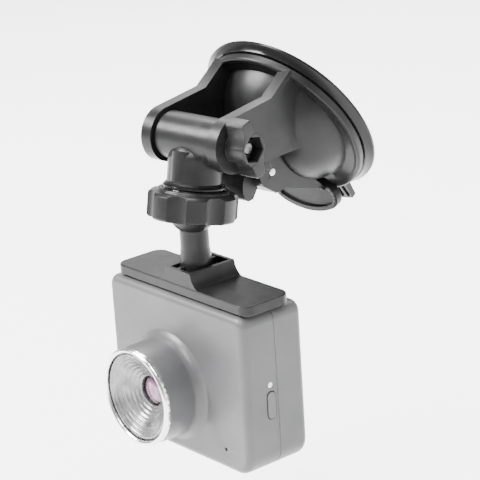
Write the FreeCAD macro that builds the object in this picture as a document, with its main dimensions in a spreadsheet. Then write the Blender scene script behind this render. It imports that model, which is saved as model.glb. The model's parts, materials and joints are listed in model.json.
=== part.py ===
"""Dash camera on a windscreen suction mount, modelled as an assembly of separate pieces.

Row frame, millimetres: origin at the centre of the cup's lip, where it meets the glass,
+Z up, +X along the yoke's hinge, +Y towards the windscreen.  The camera hangs under the
ball joint with its lens facing -Y.
"""
import math
import os

import FreeCAD
import Part
import Sketcher
from FreeCAD import Placement, Rotation, Vector

# Every driving dimension: millimetres and degrees.  In the cup's own frame "up" is the
# direction from the hinge side of the glass plane and "out" is the distance from the glass.
DIMENSIONS = {
    # attitude: the glass from level, the neck from upright, the camera about the stem
    "glass_tilt": 59.2, "neck_lean": 11.3, "camera_spin": -7.8,
    # suction cup
    "lip_radius": 29.6, "lip_edge": 1.1, "cup_height": 3.2, "cup_hole": 9.8,
    "core_radius": 9.3, "core_low": 2.6, "core_high": 4.5, "core_neck": 4.6,
    "tab_turn": 10, "tab_reach": 35, "tab_root": 10.5, "tab_tip": 7.6, "tab_thick": 1.9,
    # housing of the cup and its yoke
    "flange_radius": 27.5, "flange_low": 3.6, "flange_high": 5.1, "flange_rim": 5.9,
    "dome_radius": 24.0, "dome_centre": -3.9, "dome_hollow": 18.6, "recess_half": 9.6,
    "recess_floor": 16.6, "tower_radius": 5.6, "tower_high": 20.4, "tower_bore": 3.9,
    "arm_gap": 10.9, "arm_thick": 3.8, "arm_radius": 8.2, "hinge_up": 23.5, "hinge_out": 35.0,
    "kink_up": 23.6, "kink_out": 15.6, "upper_lean": -29.5, "lower_lean": 147,
    "head_recess": 3.9, "recess_depth": 2.0,
    # pull stud, pin and lever
    "stud_radius": 3.8, "stud_foot": 2.6, "pin_out": 23.8, "pin_radius": 1.25,
    "pin_half": 9.3, "lever_half": 9.1, "cheek_inner": 7.6, "cam_radius": 4.8, "cam_offset": 1.45,
    "paddle_up": -25.6, "paddle_out": 8.9, "paddle_slope": -14, "paddle_half": 12.6,
    "paddle_long": 6.6, "paddle_end": 4.6, "paddle_thick": 2.4, "paddle_dish": 0.8, "nose_half": 5.2,
    # hinge bolt, nut, washer and wing knob
    "bolt_radius": 2.0, "bolt_end": 19.8, "bolt_head": 3.5, "fit_gap": 0.06,
    "nut_flats": 7.0, "nut_thick": 3.0, "washer_radius": 4.6, "washer_thick": 0.5,
    "knob_start": 15.4, "knob_end": 21.9, "knob_hub": 4.7, "knob_reach": 8.9, "knob_wing": 2.1,
    "knob_turn": 118, "knob_scoop": 7.5,
    # swivel head
    "tube_radius": 7.0, "tube_half": 10.6, "neck_radius": 8.1, "neck_low": -13.0,
    "thread_radius": 9.22, "thread_low": -20.0, "socket_radius": 8.2, "socket_step": -13.7,
    "socket_top": -12.4, "socket_narrow": 6.7, "rib_radius": 2.6,
    # collar nut
    "collar_radius": 13.3, "collar_top": -15.2, "collar_low": -23.3, "collar_bore": 9.3,
    "collar_floor": -20.2, "lobe_depth": 1.35, "lobe_cut": 5.2, "lobe_turn": -17,
    "shoulder_radius": 10.7, "shoulder_high": 0.7,
    # ball joint: radii of the ball, its liner and the cup that holds the liner
    "ball_drop": 20.7, "ball_radius": 7.2, "liner_inner": 7.26, "liner_outer": 7.7,
    "cup_seat": 7.76, "cup_outer": 8.12, "liner_rim": 4.9, "seat_rim": 3.4,
    # stem, pedestal and plate, measured down from the ball's centre
    "stem_radius": 4.3, "stem_flare": 4.9, "plate_top": -20.5, "plate_thick": 2.8,
    "plate_long": 60, "plate_wide": 17.5, "plate_corner": 3.6, "plate_shift": 1.7,
    "pedestal_high": 4.4, "pedestal_top": 11.1, "pedestal_base": 16.6, "pedestal_rim": 1.1,
    "pedestal_dish": 1.7, "pad_thick": 0.8, "pad_inset": 1.2,
    # camera casing; its own frame has the origin where the lens axis meets the split line
    "case_wide": 62, "case_tall": 49.5, "case_front": 12, "case_rear": 11, "case_wall": 1.7,
    "case_corner": 3.5, "case_foot": 6.5, "case_edge": 2.4, "lens_left": 3.5, "lens_down": 28.7,
    "case_back": 2.0, "case_seam": 0.25,
    "boss_reach": 14, "boss_radius": 15.0, "boss_base": 17.3, "boss_bore": 13.2,
    "ring_thick": 1.8, "ring_inner": 13.5,
    # optics
    "cone_mouth": 13.1, "cone_throat": 4.7, "cone_depth": 5.6, "cone_steps": 7,
    "barrel_radius": 6.4, "barrel_bore": 4.4, "glass_radius": 4.35, "glass_bulge": 1.1,
    "holder_side": 19, "holder_thick": 2.6, "sensor_side": 6.6, "sensor_thick": 0.8,
    "sensor_board_side": 22, "board_thick": 1.1,
    # electronics
    "main_wide": 55.5, "main_tall": 41, "chip_side": 12, "chip_thick": 1.2, "spreader_side": 17,
    "spreader_thick": 1.4, "cell_radius": 4.0, "cell_long": 20, "panel_wide": 46,
    "panel_tall": 34.5, "panel_thick": 1.6, "window_wide": 50, "window_tall": 38,
    "window_thick": 1.2, "window_down": 22, "button_pitch": 11, "button_long": 7.2,
    "button_wide": 3.2, "button_proud": 0.5, "side_long": 8.4, "side_wide": 3.0,
    "post_radius": 1.8, "screw_radius": 0.8, "screw_head": 1.5,
}

DOC = FreeCAD.newDocument("dash_camera")
SHEET = DOC.addObject("Spreadsheet::Sheet", "sheet")
NODES = {}


class Size:
    """A length or angle that carries both its number and the sheet expression behind it."""

    def __init__(self, number, text):
        self.number = number
        self.text = text

    def __add__(self, other):
        other = as_size(other)
        return Size(self.number + other.number, f"({self.text} + {other.text})")

    def __sub__(self, other):
        other = as_size(other)
        return Size(self.number - other.number, f"({self.text} - {other.text})")

    def __mul__(self, other):
        other = as_size(other)
        return Size(self.number * other.number, f"({self.text} * {other.text})")

    def __truediv__(self, other):
        other = as_size(other)
        return Size(self.number / other.number, f"({self.text} / {other.text})")

    def __neg__(self):
        return Size(-self.number, f"(0 - {self.text})")

    def __radd__(self, other):
        return as_size(other) + self

    def __rsub__(self, other):
        return as_size(other) - self

    def __rmul__(self, other):
        return as_size(other) * self


class Sheet:
    """Gives each spreadsheet alias as a Size."""

    def __getattr__(self, name):
        return Size(float(DIMENSIONS[name]), f"sheet.{name}")


D = Sheet()


def as_size(value):
    if isinstance(value, Size):
        return value
    return Size(float(value), f"({float(value):.6g})")


def cosine(angle):
    return Size(math.cos(math.radians(angle.number)), f"cos({angle.text})")


def sine(angle):
    return Size(math.sin(math.radians(angle.number)), f"sin({angle.text})")


def root(value):
    return Size(math.sqrt(value.number), f"sqrt({value.text})")


def chord(radius, height):
    """Half the width of a circle at a height from its centre."""
    return root(radius * radius - height * height)


def cap_radius(half, rise):
    """Radius of the sphere whose cap has this half width and rise."""
    return (half * half + rise * rise) / (rise * 2)


def fill_sheet():
    for row, (name, number) in enumerate(DIMENSIONS.items(), start=1):
        SHEET.set(f"A{row}", name)
        SHEET.set(f"B{row}", str(number))
        SHEET.setAlias(f"B{row}", name)
    DOC.recompute()


def bind(item, prop, value):
    item.setExpression(prop, as_size(value).text)


# ---------------------------------------------------------------- sketches and features

def new_body(label):
    body = DOC.addObject("PartDesign::Body", label)
    body.Label = label
    NODES[label] = body
    return body


def sketch(body, role, height=0, turn=0, shift=(0, 0)):
    """An empty sketch on one of the body's origin planes, raised and turned on that plane."""
    plane = [face for face in body.Origin.OriginFeatures if face.Role == role][0]
    item = body.newObject("Sketcher::SketchObject", "sketch")
    item.AttachmentSupport = [(plane, "")]
    item.MapMode = "FlatFace"
    item.AttachmentOffset = Placement(Vector(0, 0, 0), Rotation(Vector(0, 0, 1), 1))
    bind(item, "AttachmentOffset.Base.x", shift[0])
    bind(item, "AttachmentOffset.Base.y", shift[1])
    bind(item, "AttachmentOffset.Base.z", height)
    bind(item, "AttachmentOffset.Rotation.Angle", turn)
    return item


def pin_down(item, geometry, vertex, x, y):
    """Fixes a sketch vertex at (x, y), each bound to its expression."""
    for kind, value, axis in (("DistanceX", x, -2), ("DistanceY", y, -1)):
        if value.text in ("(0)", "(-0)"):
            item.addConstraint(Sketcher.Constraint("PointOnObject", geometry, vertex, axis))
            continue
        number = item.addConstraint(Sketcher.Constraint(kind, -1, 1, geometry, vertex, value.number))
        bind(item, f"Constraints[{number}]", value)


def arc_between(start, end, radius, side):
    """Arc of under half a turn; side is +1 when its centre lies left of the way along."""
    middle = (start + end) * 0.5
    along = end - start
    rise = math.sqrt(max(radius * radius - along.Length ** 2 / 4, 0))
    normal = Vector(-along.y, along.x, 0).normalize()
    centre = middle + normal * (rise * side)
    first, last = (start, end) if side > 0 else (end, start)
    angles = [math.atan2(point.y - centre.y, point.x - centre.x) for point in (first, last)]
    return Part.ArcOfCircle(Part.Circle(centre, Vector(0, 0, 1), radius), angles[0], angles[1])


def outline(item, corners):
    """Closed loop.  A corner is (x, y), or (x, y, radius, side) when an arc leads to it."""
    corners = [tuple(as_size(value) for value in corner[:2]) + tuple(corner[2:]) for corner in corners]
    points = [Vector(corner[0].number, corner[1].number, 0) for corner in corners]
    first = item.GeometryCount
    ends = []
    for index, corner in enumerate(corners):
        start, end = points[index - 1], points[index]
        if len(corner) == 2:
            item.addGeometry(Part.LineSegment(start, end), False)
            ends.append((1, 2))
        else:
            item.addGeometry(arc_between(start, end, as_size(corner[2]).number, corner[3]), False)
            ends.append((1, 2) if corner[3] > 0 else (2, 1))
    for index, corner in enumerate(corners):
        after = (index + 1) % len(corners)
        item.addConstraint(Sketcher.Constraint(
            "Coincident", first + index, ends[index][1], first + after, ends[after][0]))
        pin_down(item, first + index, ends[index][1], corner[0], corner[1])
        if len(corner) == 4:
            radius = as_size(corner[2])
            number = item.addConstraint(Sketcher.Constraint("Radius", first + index, radius.number))
            bind(item, f"Constraints[{number}]", radius)


def circle(item, x, y, radius):
    x, y, radius = as_size(x), as_size(y), as_size(radius)
    round_edge = Part.Circle(Vector(x.number, y.number, 0), Vector(0, 0, 1), radius.number)
    index = item.addGeometry(round_edge, False)
    pin_down(item, index, 3, x, y)
    number = item.addConstraint(Sketcher.Constraint("Radius", index, radius.number))
    bind(item, f"Constraints[{number}]", radius)


def rectangle(item, left, right, low, high):
    outline(item, [(left, low), (right, low), (right, high), (left, high)])


def rounded(item, left, right, low, high, low_radius, high_radius=None):
    """Rectangle with round corners, one radius for the low pair and one for the high pair."""
    low_radius = as_size(low_radius)
    high_radius = low_radius if high_radius is None else as_size(high_radius)
    outline(item, [
        (left + low_radius, low, low_radius, 1), (right - low_radius, low),
        (right, low + low_radius, low_radius, 1), (right, high - high_radius),
        (right - high_radius, high, high_radius, 1), (left + high_radius, high),
        (left, high - high_radius, high_radius, 1), (left, low + low_radius)])


def feature(body, kind, profile, length=None, symmetric=False, reverse=False):
    """Adds a feature, recomputes, and insists that it changed the body's volume."""
    before = 0 if body.Tip is None or body.Shape.isNull() else body.Shape.Volume
    item = body.newObject(f"PartDesign::{kind}", kind.lower())
    item.Profile = profile
    if length is not None:
        item.SideType = "Symmetric" if symmetric else "One side"
        bind(item, "Length", length)
    else:
        item.ReferenceAxis = (profile, ["V_Axis"])
        item.Angle = 360
    item.Reversed = reverse
    DOC.recompute()
    if abs(body.Shape.Volume - before) < 1e-6:
        raise RuntimeError(f"{body.Label}: {kind} changed nothing")
    return item


def pad(body, profile, length, symmetric=False, reverse=False):
    return feature(body, "Pad", profile, length, symmetric, reverse)


def pocket(body, profile, length, symmetric=False, reverse=False):
    return feature(body, "Pocket", profile, length, symmetric, reverse)


def revolve(body, profile):
    return feature(body, "Revolution", profile)


def groove(body, profile):
    return feature(body, "Groove", profile)


def round_edges(body, radius, wanted, kind="Fillet"):
    """Fillets or chamfers the edges of the body's tip that a test picks out."""
    tip = body.Tip
    names = [f"Edge{i}" for i, edge in enumerate(tip.Shape.Edges, start=1) if wanted(edge)]
    if not names:
        raise RuntimeError(f"{body.Label}: no edge to round")
    item = body.newObject(f"PartDesign::{kind}", kind.lower())
    item.Base = (tip, names)
    bind(item, "Radius" if kind == "Fillet" else "Size", radius)
    DOC.recompute()


def repeat_round(body, item, count, role="Z_Axis"):
    """Repeats a feature evenly around one of the body's origin axes."""
    pattern = body.newObject("PartDesign::PolarPattern", "pattern")
    pattern.Originals = [item]
    axis = [line for line in body.Origin.OriginFeatures if line.Role == role][0]
    pattern.Axis = (axis, [""])
    pattern.Angle = 360
    pattern.Occurrences = count
    body.Tip = pattern
    DOC.recompute()


def mirror(body, items, role="YZ_Plane"):
    pattern = body.newObject("PartDesign::Mirrored", "mirrored")
    pattern.Originals = items
    plane = [face for face in body.Origin.OriginFeatures if face.Role == role][0]
    pattern.MirrorPlane = (plane, [""])
    body.Tip = pattern
    DOC.recompute()


def at_height(low, high=None, axis="z"):
    """Edge test: the whole edge lies between two heights along an axis."""
    high = low if high is None else high
    low, high = as_size(low).number, as_size(high).number

    def wanted(edge):
        box = edge.BoundBox
        least, most = getattr(box, axis.upper() + "Min"), getattr(box, axis.upper() + "Max")
        return least > low - 1e-4 and most < high + 1e-4
    return wanted


# ---------------------------------------------------------------- where the frames stand

def in_cup(shift=(0, 0, 0)):
    """Placement of the cup's frame: x across, y up the glass, z out from the glass."""
    turn = Rotation(Vector(1, 0, 0), 180 - D.glass_tilt.number)
    return Placement(turn.multVec(Vector(*shift)), turn)


def hinge_place():
    """Placement of the neck's frame: origin on the hinge, z back along the leaning neck."""
    hinge = in_cup((0, D.hinge_up.number, D.hinge_out.number)).Base
    return Placement(hinge, Rotation(Vector(1, 0, 0), -D.neck_lean.number))


def socket_place():
    """The neck's frame moved down to the ball's centre."""
    neck = hinge_place()
    return Placement(neck.multVec(Vector(0, 0, -D.ball_drop.number)), neck.Rotation)


def ball_place():
    """Placement of the stem's frame: upright, spun about the ball's centre."""
    return Placement(socket_place().Base, Rotation(Vector(0, 0, 1), D.camera_spin.number))


def camera_place():
    top = D.plate_top.number - D.plate_thick.number - D.pad_thick.number
    shift = Vector(-D.lens_left.number, D.case_back.number, top - D.lens_down.number)
    stem = ball_place()
    return Placement(stem.multVec(shift), stem.Rotation)


def stand(placement, *bodies):
    for body in bodies:
        body.Placement = placement


# ---------------------------------------------------------------- suction cup and its lock

def make_suction_cup():
    """Soft dish with a hole for the moving core, and a ribbed tab to peel it off with."""
    body = new_body("suction_cup")
    lip, hole, top = D.lip_radius, D.cup_hole, D.cup_height
    side = sketch(body, "XZ_Plane")
    outline(side, [
        (hole, 3.7), (15, 2.9, 30, -1), (22, 1.0, 34, 1), (26.6, 0.35), (lip - 0.5, 0),
        (lip, 0.4), (lip, D.lip_edge), (lip - 1.0, 1.9), (lip - 1.6, top - 0.2), (lip - 2.4, top),
        (17, top), (hole + 2.4, 5.6), (hole, 5.8)])
    revolve(body, side)
    tab = sketch(body, "XY_Plane", height=0.35, turn=D.tab_turn)
    outline(tab, [
        (-D.tab_root / 2, 2 - lip), (-D.tab_tip / 2, -D.tab_reach),
        (D.tab_tip / 2, -D.tab_reach), (D.tab_root / 2, 2 - lip)])
    pad(body, tab, D.tab_thick)
    ribs = sketch(body, "XY_Plane", height=0.3 + D.tab_thick, turn=D.tab_turn)
    for place in (-2.4, 0, 2.4):
        rectangle(ribs, place - 0.45, place + 0.45, 0.8 - D.tab_reach, -0.2 - lip)
    pad(body, ribs, 0.55)
    stand(in_cup(), body)


def make_cup_core():
    """Soft disc at the middle of the cup, pulled off the glass by the stud."""
    body = new_body("cup_core")
    side = sketch(body, "XZ_Plane")
    radius, low, high, neck = D.core_radius, D.core_low, D.core_high, D.core_neck
    outline(side, [
        (0, low + 0.5), (radius - 2.2, low + 0.5), (radius - 1.6, low), (radius, low + 0.4),
        (radius, high), (neck + 1.2, high + 1.3), (neck, high + 3.2), (D.stud_foot, high + 3.2),
        (D.stud_foot, high), (0, high)])
    revolve(body, side)
    stand(in_cup(), body)


def make_pull_stud():
    """Stud that joins the core to the lever's pin."""
    body = new_body("pull_stud")
    side = sketch(body, "XZ_Plane")
    radius, foot = D.stud_radius, D.stud_foot
    outline(side, [
        (0, D.core_high), (foot, D.core_high), (foot, D.core_high + 3.3),
        (radius, D.core_high + 3.3), (radius, D.pin_out), (0, D.pin_out + radius, radius, 1)])
    revolve(body, side)
    hole = sketch(body, "YZ_Plane")
    circle(hole, 0, D.pin_out, D.pin_radius)
    pocket(body, hole, 4 * radius, symmetric=True)
    stand(in_cup(), body)


def make_lever_pin():
    body = new_body("lever_pin")
    across = sketch(body, "YZ_Plane")
    circle(across, 0, D.pin_out, D.pin_radius)
    pad(body, across, 2 * D.pin_half, symmetric=True)
    round_edges(body, 0.25, lambda edge: edge.Curve.TypeId == "Part::GeomCircle", "Chamfer")
    stand(in_cup(), body)


def make_lock_lever():
    """Over-centre lever: two cam cheeks on the pin, a web that joins them, and a thumb paddle."""
    body = new_body("lock_lever")
    pin, cam, middle = D.pin_out, D.cam_radius, D.pin_out - D.cam_offset
    side = sketch(body, "YZ_Plane")
    outline(side, [
        (cam, middle, cam, 1), (cam, pin + 2.5), (1.6, pin + 5.4, 3.6, 1), (-0.6, pin + 5.5),
        (-6.6, pin + 2.5), (-8.6, pin - 1.6), (-20.4, pin - 12.9), (-25, pin - 14.6),
        (-25, pin - 15.6), (-13.6, pin - 11.8), (-5.4, pin - 6.9),
        (0, middle - cam)])
    pad(body, side, 2 * D.lever_half, symmetric=True)
    add_paddle(body)
    channel = sketch(body, "YZ_Plane")
    outline(channel, [
        (7, pin - 10.7), (7, pin + 4.5), (0, pin + 4.5), (-5.6, pin + 1.5), (-7.2, pin - 1.8),
        (-17.4, pin - 11.6), (-15, pin - 14), (-4, pin - 12.7)])
    pocket(body, channel, 2 * D.cheek_inner, symmetric=True)
    nose = sketch(body, "YZ_Plane")
    outline(nose, [
        (4.3, pin + 4.6), (4.2, pin + 6.6), (-0.6, pin + 10.6, 6.4, 1), (-3.4, pin + 9.8, 2.4, 1),
        (-4.2, pin + 8.2), (-2.8, pin + 4.7)])
    pad(body, nose, 2 * D.nose_half, symmetric=True)
    hole = sketch(body, "YZ_Plane")
    circle(hole, 0, D.pin_out, D.pin_radius + D.fit_gap)
    pocket(body, hole, 3 * D.lever_half, symmetric=True)
    stand(in_cup(), body)


def oval(item, wide, tall, end):
    """Oval of tangent arcs: wide along x, tall along y, with the given radius at its ends."""
    flank = (wide * wide + tall * tall - 2 * wide * end) / (2 * (tall - end))
    share = end / (flank - end)
    x, y = (wide - end) * (1 + share), (flank - tall) * share
    outline(item, [
        (x, -y, flank, 1), (wide, 0, end, 1), (x, y, end, 1),
        (-x, y, flank, 1), (-wide, 0, end, 1), (-x, -y, end, 1)])


def add_paddle(body):
    """Oval thumb paddle with a shallow dish; its plane leans from the glass by its slope."""
    for inset, height, depth, cut in (
            (0, 0, D.paddle_thick, False),
            (1.5, D.paddle_thick / 2 - D.paddle_dish, D.paddle_dish + 4, True)):
        face = sketch(body, "XY_Plane")
        face.AttachmentOffset = Placement(Vector(0, 0, 0), Rotation(Vector(1, 0, 0), 1))
        lean = D.paddle_slope
        bind(face, "AttachmentOffset.Rotation.Angle", lean)
        bind(face, "AttachmentOffset.Base.y", D.paddle_up - height * sine(lean))
        bind(face, "AttachmentOffset.Base.z", D.paddle_out + height * cosine(lean))
        oval(face, D.paddle_half - inset, D.paddle_long - inset, D.paddle_end - inset)
        if cut:
            pocket(body, face, depth, reverse=True)
        else:
            pad(body, face, depth, symmetric=True)


def make_cup_housing():
    """Flanged dome over the cup, with the lever's recess, the stud's tower and the yoke."""
    body = new_body("cup_housing")
    flange, low, high, rim = D.flange_radius, D.flange_low, D.flange_high, D.flange_rim
    centre, dome, hollow = D.dome_centre, D.dome_radius, D.dome_hollow
    side = sketch(body, "XZ_Plane")
    outline(side, [
        (flange, low), (flange, rim - 0.8),
        (flange - 0.8, rim, 0.8, 1), (flange - 1.6, rim - 0.2), (flange - 2.4, high),
        (chord(dome, high - centre), high), (0, dome + centre, dome, 1), (0, low)])
    revolve(body, side)
    recess = sketch(body, "YZ_Plane")
    outline(recess, [
        (9.5, D.recess_floor), (-3.5, D.recess_floor), (-13.5, 10.2), (-20.2, high), (-23, high),
        (-23, 26), (9.5, 26)])
    pocket(body, recess, 2 * D.recess_half, symmetric=True)
    add_yoke(body)
    tower = sketch(body, "XY_Plane", height=D.recess_floor - 1.5)
    circle(tower, 0, 0, D.tower_radius)
    pad(body, tower, D.tower_high - D.recess_floor + 1.5)
    inside = sketch(body, "XZ_Plane")
    outline(inside, [
        (0, low - 1), (chord(hollow, low - 1 - centre), low - 1), (0, hollow + centre, hollow, 1)])
    groove(body, inside)
    bore = sketch(body, "XY_Plane", height=D.tower_high + 1)
    circle(bore, 0, 0, D.tower_bore)
    pocket(body, bore, 9)
    stand(in_cup(), body)


def add_yoke(body):
    """Two cheeks that run from the flange to the hinge."""
    up, out, radius = D.hinge_up, D.hinge_out, D.arm_radius
    arm = sketch(body, "YZ_Plane", height=D.arm_gap)
    outline(arm, [
        (up + radius * cosine(D.upper_lean), out + radius * sine(D.upper_lean)),
        (D.kink_up, D.kink_out), (D.kink_up + 0.8, D.flange_high - 0.6),
        (6, D.flange_high - 0.6), (-1.6, 8.2),
        (up + radius * cosine(D.lower_lean), out + radius * sine(D.lower_lean))])
    cheek = pad(body, arm, D.arm_thick)
    end = sketch(body, "YZ_Plane", height=D.arm_gap)
    circle(end, up, out, radius)
    disc = pad(body, end, D.arm_thick)
    mirror(body, [cheek, disc])
    hole = sketch(body, "YZ_Plane")
    circle(hole, up, out, D.bolt_radius + D.fit_gap)
    pocket(body, hole, 40, symmetric=True)
    seat = sketch(body, "YZ_Plane", height=-D.arm_gap - D.arm_thick + D.recess_depth)
    circle(seat, up, out, D.head_recess)
    pocket(body, seat, D.recess_depth + 1, reverse=False)


# ---------------------------------------------------------------- hinge hardware

def make_hinge_bolt():
    """Round-headed bolt through the yoke; its axis is the hinge."""
    body = new_body("hinge_bolt")
    outer = D.arm_gap + D.arm_thick
    seat = outer - D.recess_depth
    side = sketch(body, "XY_Plane")
    head, shank = D.bolt_head, D.bolt_radius
    crown = cap_radius(head, D.recess_depth - 0.1)
    outline(side, [(-seat, 0), (-seat, head), (-seat - 0.9, head), (-outer - 0.8, 0, crown, 1)])
    profile_about_x(body, side)
    rod = sketch(body, "YZ_Plane", height=-seat - 0.2)
    circle(rod, 0, 0, shank)
    pad(body, rod, D.bolt_end + seat + 0.2)
    round_edges(body, 0.5, at_height(D.bolt_end, axis="x"), "Chamfer")
    stand(hinge_place(), body)


def profile_about_x(body, profile):
    """Turns a profile in the XY plane once about the X axis."""
    item = body.newObject("PartDesign::Revolution", "revolution")
    item.Profile = profile
    item.ReferenceAxis = (profile, ["H_Axis"])
    item.Angle = 360
    DOC.recompute()


def hexagon(item, flats, turn=0):
    """Regular hexagon given across flats."""
    radius = flats / (2 * math.cos(math.radians(30)))
    corners = []
    for step in range(6):
        angle = math.radians(60 * step + turn)
        corners.append((radius * math.cos(angle), radius * math.sin(angle)))
    outline(item, corners)


def make_hinge_nut():
    body = new_body("hinge_nut")
    face = sketch(body, "YZ_Plane", height=D.knob_start + 0.2)
    hexagon(face, D.nut_flats)
    circle(face, 0, 0, D.bolt_radius + D.fit_gap)
    pad(body, face, D.nut_thick)
    stand(hinge_place(), body)


def make_hinge_washer():
    body = new_body("hinge_washer")
    face = sketch(body, "YZ_Plane", height=D.arm_gap + D.arm_thick)
    circle(face, 0, 0, D.washer_radius)
    circle(face, 0, 0, D.bolt_radius + D.fit_gap)
    pad(body, face, D.washer_thick)
    stand(hinge_place(), body)


def make_wing_knob():
    """Two-winged knob that holds the hex nut in an open hexagonal pocket."""
    body = new_body("wing_knob")
    length = D.knob_end - D.knob_start
    reach, wing, hub = D.knob_reach, D.knob_wing, D.knob_hub
    face = sketch(body, "YZ_Plane", height=D.knob_start, turn=D.knob_turn)
    ridge = 0.42 * hub
    flank = 0.9075 * hub
    outline(face, [
        (ridge, -flank, hub, 1), (reach - 0.7, -wing, D.knob_scoop, -1),
        (reach, 0.7 - wing), (reach, wing - 0.7), (reach - 0.7, wing),
        (ridge, flank, D.knob_scoop, -1), (-ridge, flank, hub, 1),
        (0.7 - reach, wing, D.knob_scoop, -1), (-reach, wing - 0.7), (-reach, 0.7 - wing),
        (0.7 - reach, -wing), (-ridge, -flank, D.knob_scoop, -1)])
    pad(body, face, length)
    hole = sketch(body, "YZ_Plane", height=D.knob_start - 1)
    circle(hole, 0, 0, D.bolt_radius + 0.25)
    pocket(body, hole, 4, reverse=True)
    seat = sketch(body, "YZ_Plane", height=D.knob_start + 0.2)
    hexagon(seat, D.nut_flats + 0.06)
    pocket(body, seat, length, reverse=True)
    stand(hinge_place(), body)


# ---------------------------------------------------------------- swivel head and collar

def make_swivel_head():
    """T-shaped head: the hinge tube across, the threaded neck and the ball socket below."""
    body = new_body("swivel_head")
    neck, thread = D.neck_radius, D.thread_radius
    side = sketch(body, "XZ_Plane")
    outline(side, [
        (0, -1), (D.tube_radius - 0.6, -2), (neck, -5.5, 6, -1), (neck, D.neck_low + 0.6),
        (thread - 0.5, D.neck_low), (thread, D.neck_low - 0.5), (thread, D.neck_low - 0.9),
        (thread - 0.5, D.neck_low - 1.3), (thread, D.neck_low - 1.8), (thread, D.thread_low),
        (D.socket_radius, D.thread_low), (D.socket_radius, D.socket_step),
        (D.socket_narrow, D.socket_step), (D.socket_narrow, D.socket_top), (0, D.socket_top)])
    revolve(body, side)
    across = sketch(body, "YZ_Plane")
    circle(across, 0, 0, D.tube_radius)
    pad(body, across, 2 * D.tube_half, symmetric=True)
    round_edges(body, 0.5, at_height(D.tube_half, axis="x"))
    round_edges(body, 0.5, at_height(-D.tube_half, axis="x"))
    rib = sketch(body, "XY_Plane", height=D.neck_low + 1.2)
    circle(rib, 0, 3.6 - neck, D.rib_radius + 1.4)
    pad(body, rib, 8.6)
    hole = sketch(body, "YZ_Plane")
    circle(hole, 0, 0, D.bolt_radius + 0.08)
    pocket(body, hole, 3 * D.tube_half, symmetric=True)
    stand(hinge_place(), body)


def make_collar_nut():
    """Seven-lobed collar that screws on the neck and traps the ball from below."""
    body = new_body("collar_nut")
    radius, low, top, drop = D.collar_radius, D.collar_low, D.collar_top, D.ball_drop
    seat = D.ball_radius + 0.1
    side = sketch(body, "XZ_Plane")
    outline(side, [
        (radius - 0.6, low), (radius, low + 0.6),
        (radius, top - 1.0), (radius - 1.0, top - 0.2), (D.shoulder_radius, top - 0.2),
        (D.shoulder_radius - 0.3, top + D.shoulder_high), (D.collar_bore, top + D.shoulder_high),
        (D.collar_bore, D.collar_floor), (chord(seat, drop + D.collar_floor), D.collar_floor),
        (chord(seat, drop + low), low, seat, -1)])
    revolve(body, side)
    scallop = sketch(body, "XY_Plane", height=low - 1)
    away = radius + D.lobe_cut - D.lobe_depth
    circle(scallop, away * cosine(D.lobe_turn), away * sine(D.lobe_turn), D.lobe_cut)
    cut = pocket(body, scallop, 12, reverse=True)
    repeat_round(body, cut, 7)
    stand(hinge_place(), body)


# ---------------------------------------------------------------- ball joint and plate

def seat_shell(label, inner, outer, rim, square=False):
    """Cap-shaped shell about the ball's centre, from its rim height up over the top."""
    body = new_body(label)
    side = sketch(body, "XZ_Plane")
    if square:
        narrow, step = D.socket_narrow - 0.08, D.socket_step + D.ball_drop
        top = D.socket_top + D.ball_drop - 0.1
        outline(side, [
            (0, top), (narrow, top), (narrow, step - 0.1), (outer, step - 0.1),
            (outer, rim), (chord(inner, rim), rim), (0, inner, inner, 1)])
    else:
        outline(side, [
            (0, outer), (chord(outer, rim), rim, outer, -1), (chord(inner, rim), rim),
            (0, inner, inner, 1)])
    revolve(body, side)
    stand(socket_place(), body)


def make_ball_plate():
    """Ball, stem, pedestal and plate: one moulding that carries the camera."""
    body = new_body("ball_plate")
    top, thick, shift = D.plate_top, D.plate_thick, D.plate_shift
    plate = sketch(body, "XY_Plane", height=top - thick)
    half_long, half_wide = D.plate_long / 2, D.plate_wide / 2
    rounded(plate, shift - half_long, shift + half_long, -half_wide, half_wide, D.plate_corner)
    pad(body, plate, thick)
    round_edges(body, 0.45, at_height(top))
    add_pedestal(body)
    ball = sketch(body, "XZ_Plane")
    radius, stem, flare = D.ball_radius, D.stem_radius, D.stem_flare
    high = top + D.pedestal_high
    outline(ball, [
        (0, top), (flare, top), (flare, high - 1.2), (stem, high + 5),
        (stem, -chord(radius, stem)), (radius, 0, radius, 1), (0, radius, radius, 1)])
    revolve(body, ball)
    stand(ball_place(), body)


def add_pedestal(body):
    """Block under the stem with concave ends, an open dish on top and four small gussets."""
    top, shift = D.plate_top, D.plate_shift
    high = top + D.pedestal_high
    front = sketch(body, "XZ_Plane")
    near, wide = D.pedestal_top / 2, D.pedestal_base / 2
    outline(front, [
        (shift - wide, top - 0.4), (shift + wide, top - 0.4),
        (shift + wide, top), (shift + near, high, 5.6, -1), (shift - near, high),
        (shift - wide, top, 5.6, -1)])
    pad(body, front, D.plate_wide - 0.5, symmetric=True)
    dish = sketch(body, "XY_Plane", height=high)
    rim, deep = D.pedestal_rim, D.plate_wide / 2 - 0.25 - D.pedestal_rim
    rectangle(dish, shift - near + rim, shift + near - rim, -deep, deep)
    pocket(body, dish, D.pedestal_dish)
    ribs = sketch(body, "XY_Plane", height=high - D.pedestal_dish)
    rectangle(ribs, -0.6, 0.6, -deep, deep)
    pad(body, ribs, D.pedestal_dish - 0.3)


def make_adhesive_pad():
    body = new_body("adhesive_pad")
    low = D.plate_top - D.plate_thick - D.pad_thick
    face = sketch(body, "XY_Plane", height=low)
    half_long, half_wide = D.plate_long / 2 - D.pad_inset, D.plate_wide / 2 - D.pad_inset
    shift = D.plate_shift
    rounded(face, shift - half_long, shift + half_long, -half_wide, half_wide, 2.6)
    pad(body, face, D.pad_thick)
    stand(ball_place(), body)


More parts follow.
